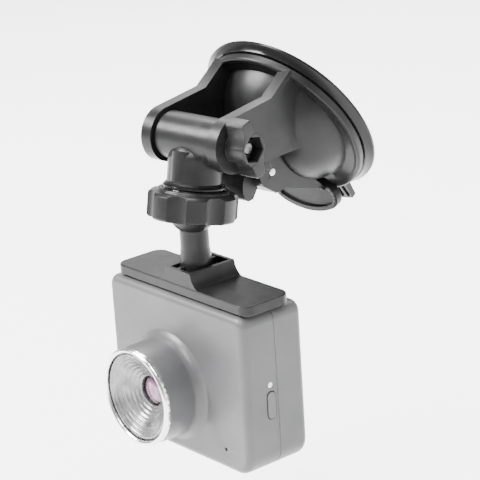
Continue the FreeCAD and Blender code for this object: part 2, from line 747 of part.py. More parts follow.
# ---------------------------------------------------------------- camera casing

def case_sides(inset=0):
    """Left, right, low and high edges of the casing, pulled in by an inset."""
    left = D.lens_left - D.case_wide / 2 + inset
    right = D.lens_left + D.case_wide / 2 - inset
    high = D.lens_down - inset
    low = D.lens_down - D.case_tall + inset
    return left, right, low, high


def case_outline(item, inset=0):
    left, right, low, high = case_sides(inset)
    rounded(item, left, right, low, high, D.case_foot - inset, D.case_corner - inset)


def slot(item, x, y, long, wide, upright=False):
    """Slot with quarter-round ends, given by its centre, whole length and width."""
    x, y, wide = as_size(x), as_size(y), as_size(wide)
    half, end = as_size(long) / 2, wide / 2 - 0.01
    if upright:
        rounded(item, x - wide / 2, x + wide / 2, y - half, y + half, end)
    else:
        rounded(item, x - half, x + half, y - wide / 2, y + wide / 2, end)


def make_front_shell():
    """Front half of the casing, with the round lens boss."""
    body = new_body("front_shell")
    deep, wall = D.case_front, D.case_wall
    face = sketch(body, "XZ_Plane")
    case_outline(face)
    pad(body, face, deep)
    round_edges(body, D.case_edge, at_height(-deep, axis="y"))
    tip = -deep - D.boss_reach + D.ring_thick
    boss = sketch(body, "XY_Plane")
    base, radius, bore = D.boss_base, D.boss_radius, D.boss_bore
    outline(boss, [
        (bore - 2, tip), (radius, tip), (radius, -deep - 3.6), (base, -deep, 4.6, -1),
        (base, 1 - deep), (bore - 2, 1 - deep)])
    revolve(body, boss)
    inside = sketch(body, "XZ_Plane")
    case_outline(inside, wall)
    pocket(body, inside, deep - wall, reverse=True)
    barrel = sketch(body, "XZ_Plane")
    circle(barrel, 0, 0, bore)
    pocket(body, barrel, deep + D.boss_reach + 2, reverse=True)
    cut_sides(body)
    round_edges(body, D.case_seam, rim_edge, "Chamfer")
    stand(camera_place(), body)


def rim_edge(edge):
    """Edge test: on the casing's outer outline, at the split line."""
    box = edge.BoundBox
    left, right, low, high = (side.number for side in case_sides())
    level = box.YMax - box.YMin < 1e-4 and abs(box.YMin) < 1e-4
    near = 0.3 * D.case_corner.number
    inner = box.XMin > left + near and box.XMax < right - near
    return level and not (inner and box.ZMin > low + near and box.ZMax < high - near)


def cut_sides(body):
    """Openings in the front shell: ports on the left, button on the right, holes for sound."""
    left, right, low, _ = case_sides()
    wall = D.case_wall
    for x, y, z, long, wide in (
            (left, -5.4, 6.5, 9.4, 3.5), (left, -3.2, -6.5, 11.8, 1.5)):
        port = sketch(body, "YZ_Plane", height=x - 1)
        slot(port, y, z, long, wide, upright=True)
        pocket(body, port, wall + 1.5, reverse=True)
    button = sketch(body, "YZ_Plane", height=right + 1)
    slot(button, -2.6, 0, D.side_long + 0.5, D.side_wide + 0.5, upright=True)
    circle(button, -2.6, D.side_long / 2 + 2.0, 0.9)
    pocket(body, button, wall + 2)
    sound = sketch(body, "XY_Plane", height=low - 1)
    for step in range(5):
        circle(sound, 14 + 2.4 * step, -5, 0.6)
    pocket(body, sound, wall + 2, reverse=True)
    voice = sketch(body, "XZ_Plane", height=D.case_front + 1)
    circle(voice, 24, -14, 0.6)
    pocket(body, voice, wall + 2)


def make_rear_shell():
    """Rear half of the casing, with the window's opening, button holes and board posts."""
    body = new_body("rear_shell")
    deep, wall = D.case_rear, D.case_wall
    face = sketch(body, "XZ_Plane")
    case_outline(face)
    pad(body, face, deep, reverse=True)
    round_edges(body, D.case_edge, at_height(deep, axis="y"))
    inside = sketch(body, "XZ_Plane")
    case_outline(inside, wall)
    pocket(body, inside, deep - wall)
    posts = sketch(body, "XZ_Plane", height=wall - deep - 0.3)
    for x, z in post_places():
        circle(posts, x, z, D.post_radius)
    pad(body, posts, 6.4)
    window = sketch(body, "XZ_Plane", height=-deep - 1)
    window_outline(window, D.window_wide + 0.2, D.window_tall + 0.2, 2.6)
    pocket(body, window, D.window_thick + 1.05, reverse=True)
    view = sketch(body, "XZ_Plane", height=-deep - 1)
    window_outline(view, D.panel_wide + 0.6, D.panel_tall + 0.6, 1.0)
    pocket(body, view, wall + 1.5, reverse=True)
    keys = sketch(body, "XZ_Plane", height=-deep - 1)
    for place in button_places():
        slot(keys, place, button_height(), D.button_long + 0.5, D.button_wide + 0.5)
    pocket(body, keys, wall + 1.5, reverse=True)
    pilots = sketch(body, "XZ_Plane", height=-2.5)
    for x, z in post_places():
        circle(pilots, x, z, D.screw_radius)
    pocket(body, pilots, 5)
    round_edges(body, D.case_seam, rim_edge, "Chamfer")
    stand(camera_place(), body)


def post_places():
    middle, height = D.lens_left, window_middle()
    return [(middle + sx * 26, height + sz) for sx in (-1, 1) for sz in (18.0, -19.6)]


def window_middle():
    return D.lens_down - D.window_down


def window_outline(item, wide, tall, radius):
    middle, height = D.lens_left, window_middle()
    rounded(item, middle - wide / 2, middle + wide / 2, height - tall / 2, height + tall / 2, radius)


def button_places():
    return [D.lens_left + (step - 1.5) * D.button_pitch for step in range(4)]


def button_height():
    return D.lens_down - D.case_tall + 4.6


# ---------------------------------------------------------------- lens and sensor

def face_ring(label, near, far, outer, inner=None):
    """Disc or ring square to the lens axis, from one depth behind the split line to another."""
    body = new_body(label)
    face = sketch(body, "XZ_Plane", height=-far)
    circle(face, 0, 0, outer)
    if inner is not None:
        circle(face, 0, 0, inner)
    pad(body, face, far - near)
    stand(camera_place(), body)
    return body


def boss_tip():
    """Depth of the boss's front face, behind the bright ring."""
    return D.ring_thick - D.case_front - D.boss_reach


def cone_throat():
    """Depth of the narrow end of the funnel."""
    return boss_tip() - 0.8 + D.cone_depth


def make_lens_ring():
    body = new_body("lens_ring")
    tip, outer, inner, thick = boss_tip(), D.boss_radius, D.ring_inner, D.ring_thick
    side = sketch(body, "XY_Plane")
    outline(side, [
        (inner, tip - thick + 0.5), (inner + 0.5, tip - thick), (outer - 0.6, tip - thick),
        (outer, tip - thick + 0.6), (outer, tip), (inner, tip)])
    revolve(body, side)
    stand(camera_place(), body)


def make_lens_cone():
    """Funnel of fine rings between the bright ring and the lens."""
    body = new_body("lens_cone")
    mouth, throat, back = D.cone_mouth, D.cone_throat, cone_throat()
    steps = DIMENSIONS["cone_steps"]
    tread = (mouth - 0.7 - throat) / steps
    rise = D.cone_depth / steps
    corners = []
    for step in range(steps):
        corners.append((throat + tread * step, back - rise * step))
        corners.append((throat + tread * (step + 0.7), back - rise * (step + 0.35)))
    corners += [
        (mouth - 0.7, back - D.cone_depth), (mouth, back - D.cone_depth), (mouth, back + 1.2),
        (throat, back + 1.2)]
    side = sketch(body, "XY_Plane")
    outline(side, corners)
    revolve(body, side)
    stand(camera_place(), body)


def make_lens():
    """Barrel, domed front glass, two inner elements, and the holder on the sensor board."""
    front = cone_throat() + 1.3
    face_ring("lens_barrel", front, as_size(-5.2), D.barrel_radius, D.barrel_bore)
    body = new_body("front_lens")
    side = sketch(body, "XY_Plane")
    radius, edge = D.glass_radius, cone_throat() + 0.9
    outline(side, [
        (0, edge + 1.6), (0, edge - D.glass_bulge),
        (radius, edge, cap_radius(radius, D.glass_bulge), 1), (radius, edge + 1.6)])
    revolve(body, side)
    stand(camera_place(), body)
    elements = [face_ring(f"element_{i}", as_size(near), as_size(near + 1.8), D.glass_radius)
                for i, near in enumerate((-14.2, -9.8), start=1)]
    gather("inner_lenses", elements)
    body = new_body("sensor_holder")
    face = sketch(body, "XZ_Plane", height=5.1 - D.holder_thick)
    half = D.holder_side / 2
    rectangle(face, -half, half, -half, half)
    circle(face, 0, 0, 4.9)
    pad(body, face, D.holder_thick)
    stand(camera_place(), body)
    plain_board("image_sensor", 0, 0, D.sensor_side, D.sensor_side, as_size(-2.5), D.sensor_thick)
    plain_board(
        "sensor_board", 0, 0, D.sensor_board_side, D.sensor_board_side, as_size(-1.3), D.board_thick)


def gather(label, items):
    """Puts several solids of one kind in one node."""
    group = DOC.addObject("Part::Compound", label)
    group.Label = label
    group.Links = items
    for item in items:
        NODES.pop(item.Label, None)
    NODES[label] = group
    DOC.recompute()


def plain_board(label, x, z, wide, tall, rear, thick, holes=(), hole_radius=0.9):
    """Flat rectangular piece square to the lens axis; rear is the depth of its rear face."""
    body = new_body(label)
    face = sketch(body, "XZ_Plane", height=-rear)
    x, z, wide, tall = as_size(x), as_size(z), as_size(wide), as_size(tall)
    rectangle(face, x - wide / 2, x + wide / 2, z - tall / 2, z + tall / 2)
    for place in holes:
        circle(face, place[0], place[1], hole_radius)
    pad(body, face, thick)
    stand(camera_place(), body)
    return body


# ---------------------------------------------------------------- electronics and controls

def make_electronics():
    middle, height = D.lens_left, window_middle()
    plain_board("main_board", middle, height - 0.8, D.main_wide, D.main_tall, as_size(3.1),
                D.board_thick, post_places(), D.screw_radius + 0.15)
    plain_board("processor", middle, height, D.chip_side, D.chip_side, as_size(2.0), D.chip_thick)
    plain_board("heat_spreader", middle, height, D.spreader_side, D.spreader_side,
                as_size(0.8), D.spreader_thick)
    plain_board("display_panel", middle, height, D.panel_wide, D.panel_tall, as_size(9.5),
                D.panel_thick)
    plain_board("microphone", 24, -14, 4, 3, as_size(-8.6), 1.6)
    plain_board("button_board", middle, button_height(), 44, 5, as_size(7.3), 0.9)
    window = new_body("display_window")
    face = sketch(window, "XZ_Plane", height=-D.case_rear)
    window_outline(face, D.window_wide, D.window_tall, 2.5)
    pad(window, face, D.window_thick)
    stand(camera_place(), window)
    make_power_cells()
    make_speaker()
    make_board_screws()


def upright_rod(label, x, y, low, radius, length):
    """Cylinder whose axis is parallel to Z in the camera's frame."""
    item = DOC.addObject("Part::Cylinder", label)
    item.Label = label
    bind(item, "Radius", radius)
    bind(item, "Height", length)
    item.Placement = camera_place() * Placement(Vector(x, y, low), Rotation())
    DOC.recompute()
    NODES[label] = item
    return item


def make_power_cells():
    cells = [upright_rod(f"cell_{i}", x, -4.8, -6, D.cell_radius, D.cell_long)
             for i, x in enumerate((18.4, 27.0), start=1)]
    gather("power_capacitors", cells)


def make_speaker():
    low = D.lens_down.number - D.case_tall.number + D.case_wall.number + 0.1
    upright_rod("speaker", 18.8, -4.0, low, as_size(5.4), as_size(2.6))


def make_board_screws():
    """Four screws that hold the main board to the rear shell's posts."""
    screws = []
    for i, (x, z) in enumerate(post_places(), start=1):
        body = new_body(f"screw_{i}")
        head = sketch(body, "XZ_Plane", height=-2.0)
        circle(head, x, z, D.screw_head)
        pad(body, head, 0.8)
        shank = sketch(body, "XZ_Plane", height=-1.9)
        circle(shank, x, z, D.screw_radius)
        pad(body, shank, 5.2, reverse=True)
        stand(camera_place(), body)
        screws.append(body)
    gather("board_screws", screws)


def make_ports():
    """Power inlet and card socket on the left side, and the card itself."""
    left = D.lens_left - D.case_wide / 2
    body = new_body("usb_socket")
    shell = sketch(body, "YZ_Plane", height=left + 0.2)
    slot(shell, -5.4, 6.5, 9.2, 3.3, upright=True)
    pad(body, shell, 7.4)
    mouth = sketch(body, "YZ_Plane", height=left)
    slot(mouth, -5.4, 6.5, 8.4, 2.5, upright=True)
    pocket(body, mouth, 5.8, reverse=True)
    tongue = sketch(body, "YZ_Plane", height=left + 1.2)
    rectangle(tongue, -5.75, -5.05, 3.2, 9.8)
    pad(body, tongue, 5)
    stand(camera_place(), body)
    body = new_body("card_socket")
    shell = sketch(body, "YZ_Plane", height=left + D.case_wall + 0.1)
    rectangle(shell, -4.3, -2.5, -13.2, 0.2)
    pad(body, shell, 13.4)
    mouth = sketch(body, "YZ_Plane", height=left)
    rectangle(mouth, -3.8, -2.6, -12.1, -0.9)
    pocket(body, mouth, 14.8, reverse=True)
    stand(camera_place(), body)
    body = new_body("memory_card")
    card = sketch(body, "YZ_Plane", height=left + 0.3)
    rectangle(card, -3.7, -2.7, -12.0, -1.0)
    pad(body, card, 14.2)
    stand(camera_place(), body)


def make_buttons():
    """Four keys under the screen, the side key and the status light beside it."""
    height = button_height()
    for i, x in enumerate(button_places(), start=1):
        body = new_body(f"menu_button_{i}")
        cap = sketch(body, "XZ_Plane", height=-8.9)
        slot(cap, x, height, D.button_long, D.button_wide)
        pad(body, cap, D.case_rear - 8.9 + D.button_proud, reverse=True)
        round_edges(body, 0.3, at_height(D.case_rear + D.button_proud, axis="y"))
        flange = sketch(body, "XZ_Plane", height=-8.2)
        slot(flange, x, height, D.button_long + 1.2, D.button_wide + 1.2)
        pad(body, flange, 0.8, reverse=True)
        stem = sketch(body, "XZ_Plane", height=-8.3)
        circle(stem, x, height, 0.9)
        pad(body, stem, 0.4)
        stand(camera_place(), body)
    right = D.lens_left + D.case_wide / 2
    body = new_body("side_button")
    cap = sketch(body, "YZ_Plane", height=right + 0.3)
    slot(cap, -2.6, 0, D.side_long, D.side_wide, upright=True)
    pad(body, cap, 2.4, reverse=True)
    round_edges(body, 0.25, at_height(right + 0.3, axis="x"))
    flange = sketch(body, "YZ_Plane", height=right - 2.7)
    slot(flange, -2.6, 0, D.side_long + 1.0, D.side_wide + 1.2, upright=True)
    pad(body, flange, 0.7)
    stand(camera_place(), body)
    light = new_body("status_light")
    pipe = sketch(light, "YZ_Plane", height=right - 2.6)
    circle(pipe, -2.6, D.side_long / 2 + 2.0, 0.85)
    pad(light, pipe, 2.5)
    stand(camera_place(), light)


# ---------------------------------------------------------------- checks and files

def check_document():
    for item in DOC.Objects:
        if "Invalid" in item.State or "Error" in item.State:
            raise RuntimeError(f"{item.Label} did not compute: {item.State}")
    for label, item in NODES.items():
        if item.Shape.isNull() or not item.Shape.isValid() or not item.Shape.Solids:
            raise RuntimeError(f"{label} has no sound solid")


def write_parts():
    os.makedirs("parts", exist_ok=True)
    for label, item in sorted(NODES.items()):
        item.Shape.exportStep(f"parts/{label}.step")
        box = item.Shape.BoundBox
        print(f"{label:18s} {len(item.Shape.Solids)} solid(s) {item.Shape.Volume:10.1f} mm3 "
              f"x {box.XMin:7.2f} {box.XMax:7.2f} y {box.YMin:7.2f} {box.YMax:7.2f} "
              f"z {box.ZMin:7.2f} {box.ZMax:7.2f}")


def main():
    fill_sheet()
    make_suction_cup()
    make_cup_core()
    make_pull_stud()
    make_lever_pin()
    make_lock_lever()
    make_cup_housing()
    make_hinge_bolt()
    make_hinge_nut()
    make_hinge_washer()
    make_wing_knob()
    make_swivel_head()
    make_collar_nut()
    seat_shell("socket_cup", D.cup_seat, D.cup_outer, D.seat_rim, square=True)
    seat_shell("ball_liner", D.liner_inner, D.liner_outer, D.liner_rim)
    make_ball_plate()
    make_adhesive_pad()
    make_front_shell()
    make_rear_shell()
    make_lens_ring()
    make_lens_cone()
    make_lens()
    make_electronics()
    make_ports()
    make_buttons()
    DOC.recompute()
    check_document()
    write_parts()


main()
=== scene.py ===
"""Looks of the dash camera on its suction mount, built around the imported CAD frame."""

import json
import math

import bmesh
import bpy
from mathutils import Matrix, Vector


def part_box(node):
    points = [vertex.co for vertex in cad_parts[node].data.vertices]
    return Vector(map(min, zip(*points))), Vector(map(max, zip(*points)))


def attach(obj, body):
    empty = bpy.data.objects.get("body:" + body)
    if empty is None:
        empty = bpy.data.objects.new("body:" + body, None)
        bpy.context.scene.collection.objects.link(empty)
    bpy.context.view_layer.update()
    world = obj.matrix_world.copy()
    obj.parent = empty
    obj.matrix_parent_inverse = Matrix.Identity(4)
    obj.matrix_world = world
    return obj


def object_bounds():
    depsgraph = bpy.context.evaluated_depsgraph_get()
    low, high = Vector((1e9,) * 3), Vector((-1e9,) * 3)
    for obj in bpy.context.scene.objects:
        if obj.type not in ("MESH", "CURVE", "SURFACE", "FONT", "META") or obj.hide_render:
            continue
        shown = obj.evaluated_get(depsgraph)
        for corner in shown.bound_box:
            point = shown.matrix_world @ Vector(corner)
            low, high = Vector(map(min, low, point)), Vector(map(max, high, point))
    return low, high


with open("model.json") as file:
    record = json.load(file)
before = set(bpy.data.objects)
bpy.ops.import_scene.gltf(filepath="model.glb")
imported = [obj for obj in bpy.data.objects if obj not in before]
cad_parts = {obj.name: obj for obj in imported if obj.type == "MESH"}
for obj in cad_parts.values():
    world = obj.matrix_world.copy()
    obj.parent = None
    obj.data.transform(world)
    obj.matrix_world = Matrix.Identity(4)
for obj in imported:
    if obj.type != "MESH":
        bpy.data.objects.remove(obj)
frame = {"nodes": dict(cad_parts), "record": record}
CAD_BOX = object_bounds()

MM = 0.001
NODES = frame["nodes"]
JOINTS = {joint["name"]: joint for joint in frame["record"]["behaviour"]["joints"]}

# Viewing direction, in degrees, and how far the camera stands from the object's middle.
VIEW_AZIMUTH, VIEW_ELEVATION, VIEW_ROLL = 42.7, 18.9, -3.7
VIEW_DISTANCE = 0.625
LENS_MM, SENSOR_WIDTH_MM = 156.5, 36

# The stage, in metres, and how strongly the floor glows.
FLOOR_GAP, FLOOR_RADIUS = 0.05, 20.0
FLOOR_GLOW = 0.8
FLOOR_CORNERS = 72
SKY_STRENGTH, HORIZON_STRENGTH = 0.6, 1.9

# Sines of the elevations between which the surroundings fade from horizon to sky.
GLOW_TOP, SKY_BOTTOM = 0.03, 0.2

# Soft lights: name, degrees from the camera's azimuth, elevation, distance, size, watts.
LIGHTS = (
    ("key", -88, 42, 1.1, 0.45, 40), ("front", -30, 55, 1.1, 0.45, 14),
    ("fill", 60, 20, 1.3, 0.9, 7), ("back", 180, 24, 1.3, 0.9, 2.5),
    ("top", 165, 62, 1.1, 0.9, 44),
)

# The back of the camera looks this way, and its lens and the neck give the looks their places.
OUTWARD = -Vector(JOINTS["menu_button_1_press"]["axis"])
LENS_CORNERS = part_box("front_lens")
LENS_CENTRE = (LENS_CORNERS[0] + LENS_CORNERS[1]) / 2
LENS_HALF_MM = (LENS_CORNERS[1].z - LENS_CORNERS[0].z) / 2 / MM
CONE_PITCH_MM = 0.6
NECK_AXIS = Vector(JOINTS["collar_turn"]["axis"])
BALL_CENTRE = Vector(JOINTS["collar_turn"]["pos_m"])

# Height at which the neck's thread ends above the ball's centre.
THREAD_TOP_MM = 7.8

# Specular level of all the mount's plastic.
MOUNT_SHINE = 0.22

# Edge rounds in millimetres, the angle in degrees from which an edge counts as sharp, and the
# distance within which doubled points are joined.
EDGE_ROUNDS = {
    "cup_housing": 0.3, "lock_lever": 0.25, "wing_knob": 0.35, "collar_nut": 0.45,
    "ball_plate": 0.2, "swivel_head": 0.2, "suction_cup": 0.1, "front_shell": 0.1,
    "rear_shell": 0.1,
}
COMMON_ROUND = 0.12
SHARP_ANGLE = 38
WELD_MM = 0.002

# Marks on the menu buttons, and the printed line around the lit part of the display.
MARK_RADIUS = 0.9 * MM
MARK_LINE = 0.28 * MM
MARK_HEIGHT = 0.08 * MM
BORDER_WIDE, BORDER_TALL = 0.86, 0.8
BORDER_CORNER = 1.2 * MM
BORDER_LINE = 0.35 * MM
BORDER_HEIGHT = 0.02 * MM

# A noise rarely leaves this span, and colours blend over the narrower one.
NOISE_LOW, NOISE_HIGH = 0.3, 0.7
BLEND_LOW, BLEND_HIGH = 0.35, 0.65

# Sockets of the colour form of Blender's Mix node, which shares its names between types.
MIX_FACTOR, MIX_FROM, MIX_TO, MIX_RESULT = 0, 6, 7, 2


# ---------------------------------------------------------------- materials

def grey(level, tint=0.0):
    """A grey, with its blue raised by the tint."""
    return (level, level, level * (1 + tint))


def new_material(name, color, roughness, metallic=0.0):
    """A principled material, its node tree and its shader."""
    material = bpy.data.materials.new(name)
    material.use_nodes = True
    shader = material.node_tree.nodes["Principled BSDF"]
    shader.inputs["Base Color"].default_value = (*color, 1)
    shader.inputs["Roughness"].default_value = roughness
    shader.inputs["Metallic"].default_value = metallic
    return material, material.node_tree, shader


def noise(tree, scale, detail, stretch=(1, 1, 1)):
    """Noise in object space; scale is in cycles per metre."""
    place = tree.nodes.new("ShaderNodeTexCoord")
    mapping = tree.nodes.new("ShaderNodeMapping")
    mapping.inputs["Scale"].default_value = stretch
    texture = tree.nodes.new("ShaderNodeTexNoise")
    texture.inputs["Scale"].default_value = scale
    texture.inputs["Detail"].default_value = detail
    tree.links.new(place.outputs["Object"], mapping.inputs["Vector"])
    tree.links.new(mapping.outputs["Vector"], texture.inputs["Vector"])
    return texture.outputs["Fac"]


def ramp(tree, source, low, high):
    """Colour ramp between two colours, driven by a noise."""
    node = tree.nodes.new("ShaderNodeValToRGB")
    node.color_ramp.elements[0].position = BLEND_LOW
    node.color_ramp.elements[1].position = BLEND_HIGH
    node.color_ramp.elements[0].color = (*low, 1)
    node.color_ramp.elements[1].color = (*high, 1)
    tree.links.new(source, node.inputs["Fac"])
    return node.outputs["Color"]


def spread(tree, source, low, high):
    """Maps a noise to a range."""
    node = tree.nodes.new("ShaderNodeMapRange")
    node.inputs["From Min"].default_value = NOISE_LOW
    node.inputs["From Max"].default_value = NOISE_HIGH
    node.inputs["To Min"].default_value = low
    node.inputs["To Max"].default_value = high
    tree.links.new(source, node.inputs["Value"])
    return node.outputs["Result"]


def bump(tree, shader, source, depth, strength=0.5):
    """Relief of a given depth in metres."""
    node = tree.nodes.new("ShaderNodeBump")
    node.inputs["Strength"].default_value = strength
    node.inputs["Distance"].default_value = depth
    tree.links.new(source, node.inputs["Height"])
    tree.links.new(node.outputs["Normal"], shader.inputs["Normal"])


def along(tree, point, axis):
    """Distance from a point along an axis, in millimetres, over the surface."""
    place = tree.nodes.new("ShaderNodeTexCoord")
    move = tree.nodes.new("ShaderNodeVectorMath")
    move.operation = "SUBTRACT"
    move.inputs[1].default_value = point
    dot = tree.nodes.new("ShaderNodeVectorMath")
    dot.operation = "DOT_PRODUCT"
    dot.inputs[1].default_value = axis / MM
    tree.links.new(place.outputs["Object"], move.inputs[0])
    tree.links.new(move.outputs["Vector"], dot.inputs[0])
    return dot.outputs["Value"]


def reach(tree, point):
    """Distance from a point in every direction, in millimetres, over the surface."""
    place = tree.nodes.new("ShaderNodeTexCoord")
    move = tree.nodes.new("ShaderNodeVectorMath")
    move.operation = "DISTANCE"
    move.inputs[1].default_value = point
    scale = tree.nodes.new("ShaderNodeMath")
    scale.operation = "MULTIPLY"
    scale.inputs[1].default_value = 1 / MM
    tree.links.new(place.outputs["Object"], move.inputs[0])
    tree.links.new(move.outputs["Value"], scale.inputs[0])
    return scale.outputs["Value"]


def stops(tree, source, span, colors):
    """Colour ramp over a span in millimetres; each colour's place runs from 0 to 1."""
    ranged = tree.nodes.new("ShaderNodeMapRange")
    ranged.inputs["From Min"].default_value = span[0]
    ranged.inputs["From Max"].default_value = span[1]
    tree.links.new(source, ranged.inputs["Value"])
    node = tree.nodes.new("ShaderNodeValToRGB")
    node.color_ramp.elements.remove(node.color_ramp.elements[1])
    for index, (place, color) in enumerate(colors):
        if index:
            element = node.color_ramp.elements.new(place)
        else:
            element = node.color_ramp.elements[0]
            element.position = place
        element.color = (*color, 1)
    tree.links.new(ranged.outputs["Result"], node.inputs["Fac"])
    return node.outputs["Color"]


def moulded(name, low, high, rough, grain, depth, coat=0.0, cloud=60, shine=0.5):
    """Moulded plastic or rubber: cloudy colour, uneven sheen and a fine grain.

    rough is a pair of limits, grain and cloud are in cycles per metre, depth is in metres.
    """
    material, tree, shader = new_material(name, low, sum(rough) / 2)
    shader.inputs["Specular IOR Level"].default_value = shine
    clouds = noise(tree, cloud, detail=4)
    tree.links.new(ramp(tree, clouds, low, high), shader.inputs["Base Color"])
    sheen = noise(tree, cloud * 5, detail=5)
    tree.links.new(spread(tree, sheen, *rough), shader.inputs["Roughness"])
    bump(tree, shader, noise(tree, grain, detail=2), depth)
    shader.inputs["Coat Weight"].default_value = coat
    shader.inputs["Coat Roughness"].default_value = 0.15
    return material


def brushed(name, low, high, rough, stretch):
    """Bare metal with brushed streaks; stretch squeezes them along an axis."""
    material, tree, shader = new_material(name, low, sum(rough) / 2, metallic=1.0)
    streaks = noise(tree, 900, detail=4, stretch=stretch)
    tree.links.new(ramp(tree, streaks, low, high), shader.inputs["Base Color"])
    tree.links.new(spread(tree, streaks, *rough), shader.inputs["Roughness"])
    bump(tree, shader, streaks, depth=0.02 * MM, strength=0.3)
    return material


def glassy(name, low, high, rough=0.03):
    """Dark polished glass with a faint coating colour."""
    material, tree, shader = new_material(name, low, rough)
    shader.inputs["Specular IOR Level"].default_value = 0.16
    smears = noise(tree, 90, detail=3)
    tree.links.new(spread(tree, smears, rough, rough * 2), shader.inputs["Roughness"])
    coating = noise(tree, 140, detail=2)
    tree.links.new(ramp(tree, coating, low, high), shader.inputs["Base Color"])
    return material


def spun(name, low, high, rough):
    """Turned, lacquered cone: fine rings about the lens's axis and an uneven sheen."""
    material, tree, shader = new_material(name, low, sum(rough) / 2, metallic=0.7)
    clouds = noise(tree, 160, detail=3)
    tree.links.new(ramp(tree, clouds, low, high), shader.inputs["Base Color"])
    sheen = noise(tree, 420, detail=4)
    tree.links.new(spread(tree, sheen, *rough), shader.inputs["Roughness"])
    rings = tree.nodes.new("ShaderNodeMath")
    rings.operation = "SINE"
    pitch = tree.nodes.new("ShaderNodeMath")
    pitch.operation = "MULTIPLY"
    pitch.inputs[1].default_value = 2 * math.pi / CONE_PITCH_MM
    tree.links.new(reach(tree, LENS_CENTRE), pitch.inputs[0])
    tree.links.new(pitch.outputs["Value"], rings.inputs[0])
    bump(tree, shader, rings.outputs["Value"], depth=0.03 * MM)
    return material


def painted_reflection_lens(name):
    """Dark lens with painted reflections: reddish and violet rings about its middle."""
    material, tree, shader = new_material(name, grey(0.02), 0.03)
    # Rings of painted reflection, bright and dark in turn, out from the lens's middle.
    color = stops(tree, reach(tree, LENS_CENTRE), (0, LENS_HALF_MM), (
        (0.0, (0.03, 0.004, 0.01)), (0.22, (0.3, 0.03, 0.06)), (0.4, (0.06, 0.006, 0.03)),
        (0.62, (0.22, 0.08, 0.16)), (0.82, (0.05, 0.01, 0.03)), (1.0, (0.01, 0.01, 0.012))))
    tree.links.new(color, shader.inputs["Base Color"])
    smears = noise(tree, 300, detail=3)
    tree.links.new(spread(tree, smears, 0.02, 0.06), shader.inputs["Roughness"])
    shader.inputs["Coat Weight"].default_value = 1.0
    shader.inputs["Coat Roughness"].default_value = 0.02
    shader.inputs["IOR"].default_value = 1.6
    return material


def threaded(name, low, high, rough):
    """Mount plastic whose thread, just above the collar, is darker and glossier."""
    material = moulded(name, low, high, rough, 2600, 0.03 * MM, shine=MOUNT_SHINE)
    tree = material.node_tree
    shader = tree.nodes["Principled BSDF"]
    band = stops(tree, along(tree, BALL_CENTRE, -NECK_AXIS), (0, 2 * THREAD_TOP_MM), (
        (0.0, grey(1)), (0.49, grey(1)), (0.51, grey(0))))
    for socket, inside in (("Base Color", grey(0.004)), ("Roughness", grey(0.14))):
        old = shader.inputs[socket].links[0].from_socket
        mix = tree.nodes.new("ShaderNodeMix")
        mix.data_type = "RGBA"
        tree.links.new(band, mix.inputs[MIX_FACTOR])
        tree.links.new(old, mix.inputs[MIX_FROM])
        mix.inputs[MIX_TO].default_value = (*inside, 1)
        tree.links.new(mix.outputs[MIX_RESULT], shader.inputs[socket])
    return material


MATERIALS = {
    "cup_rubber": moulded(
        "cup_rubber", grey(0.003), grey(0.006), (0.14, 0.24), 500, 0.01 * MM, 0.1, shine=0.2),
    "mount_plastic": moulded(
        "mount_plastic", grey(0.006, 0.04), grey(0.012, 0.04), (0.28, 0.38), 2600, 0.03 * MM,
        shine=MOUNT_SHINE),
    "stud_plastic": moulded("stud_plastic", grey(0.012), grey(0.02), (0.4, 0.5), 2000, 0.02 * MM),
    # Steel of the nut in the knob's hex pocket, made near black as painted shade of the pocket.
    "black_steel": brushed("black_steel", grey(0.03), grey(0.05), (0.3, 0.45), (1, 1, 6)),
    "steel": brushed("steel", grey(0.5), grey(0.68), (0.2, 0.34), (1, 1, 6)),
    "bearing_plastic": moulded(
        "bearing_plastic", grey(0.5), grey(0.6), (0.4, 0.5), 1500, 0.02 * MM),
    "foam_pad": moulded("foam_pad", grey(0.03), grey(0.06), (0.8, 0.95), 1400, 0.15 * MM),
    "case_plastic": moulded(
        "case_plastic", grey(0.066, 0.03), grey(0.082, 0.03), (0.34, 0.44), 3200, 0.02 * MM, 0.1,
        shine=0.35),
    "bright_ring": brushed("bright_ring", grey(0.78), grey(0.9), (0.1, 0.2), (1, 6, 1)),
    "cone_plastic": spun("cone_plastic", grey(0.12), grey(0.26), (0.18, 0.3)),
    "black_plastic": moulded(
        "black_plastic", grey(0.01), grey(0.016), (0.4, 0.55), 2000, 0.02 * MM),
    "lens_glass": painted_reflection_lens("lens_glass"),
    "chip_black": moulded("chip_black", grey(0.012), grey(0.02), (0.4, 0.6), 2500, 0.03 * MM),
    "circuit_board": moulded(
        "circuit_board", (0.01, 0.07, 0.03), (0.015, 0.1, 0.045), (0.3, 0.4), 900, 0.03 * MM, 0.3),
    "aluminium": brushed("aluminium", grey(0.6), grey(0.75), (0.3, 0.4), (1, 1, 5)),
    "sleeve_plastic": moulded(
        "sleeve_plastic", (0.01, 0.02, 0.09), (0.015, 0.03, 0.12), (0.25, 0.35), 600,
        0.02 * MM, 0.5),
    "screen_black": glassy("screen_black", grey(0.006), grey(0.01), 0.1),
    "window_glass": glassy("window_glass", grey(0.008, 0.3), grey(0.012, 0.3)),
    "light_pipe": moulded("light_pipe", grey(0.7), grey(0.8), (0.15, 0.25), 800, 0.01 * MM, 0.6),
    "key_plastic": moulded(
        "key_plastic", grey(0.055, 0.03), grey(0.068, 0.03), (0.3, 0.4), 2600, 0.02 * MM, 0.1),
}

# Two nodes look different from the rest of their slot.
SPECIAL_MATERIALS = {
    "hinge_bolt": brushed("bolt_steel", grey(0.1), grey(0.17), (0.3, 0.4), (1, 1, 6)),
    "swivel_head": threaded("neck_plastic", grey(0.006, 0.04), grey(0.012, 0.04), (0.28, 0.38)),
}


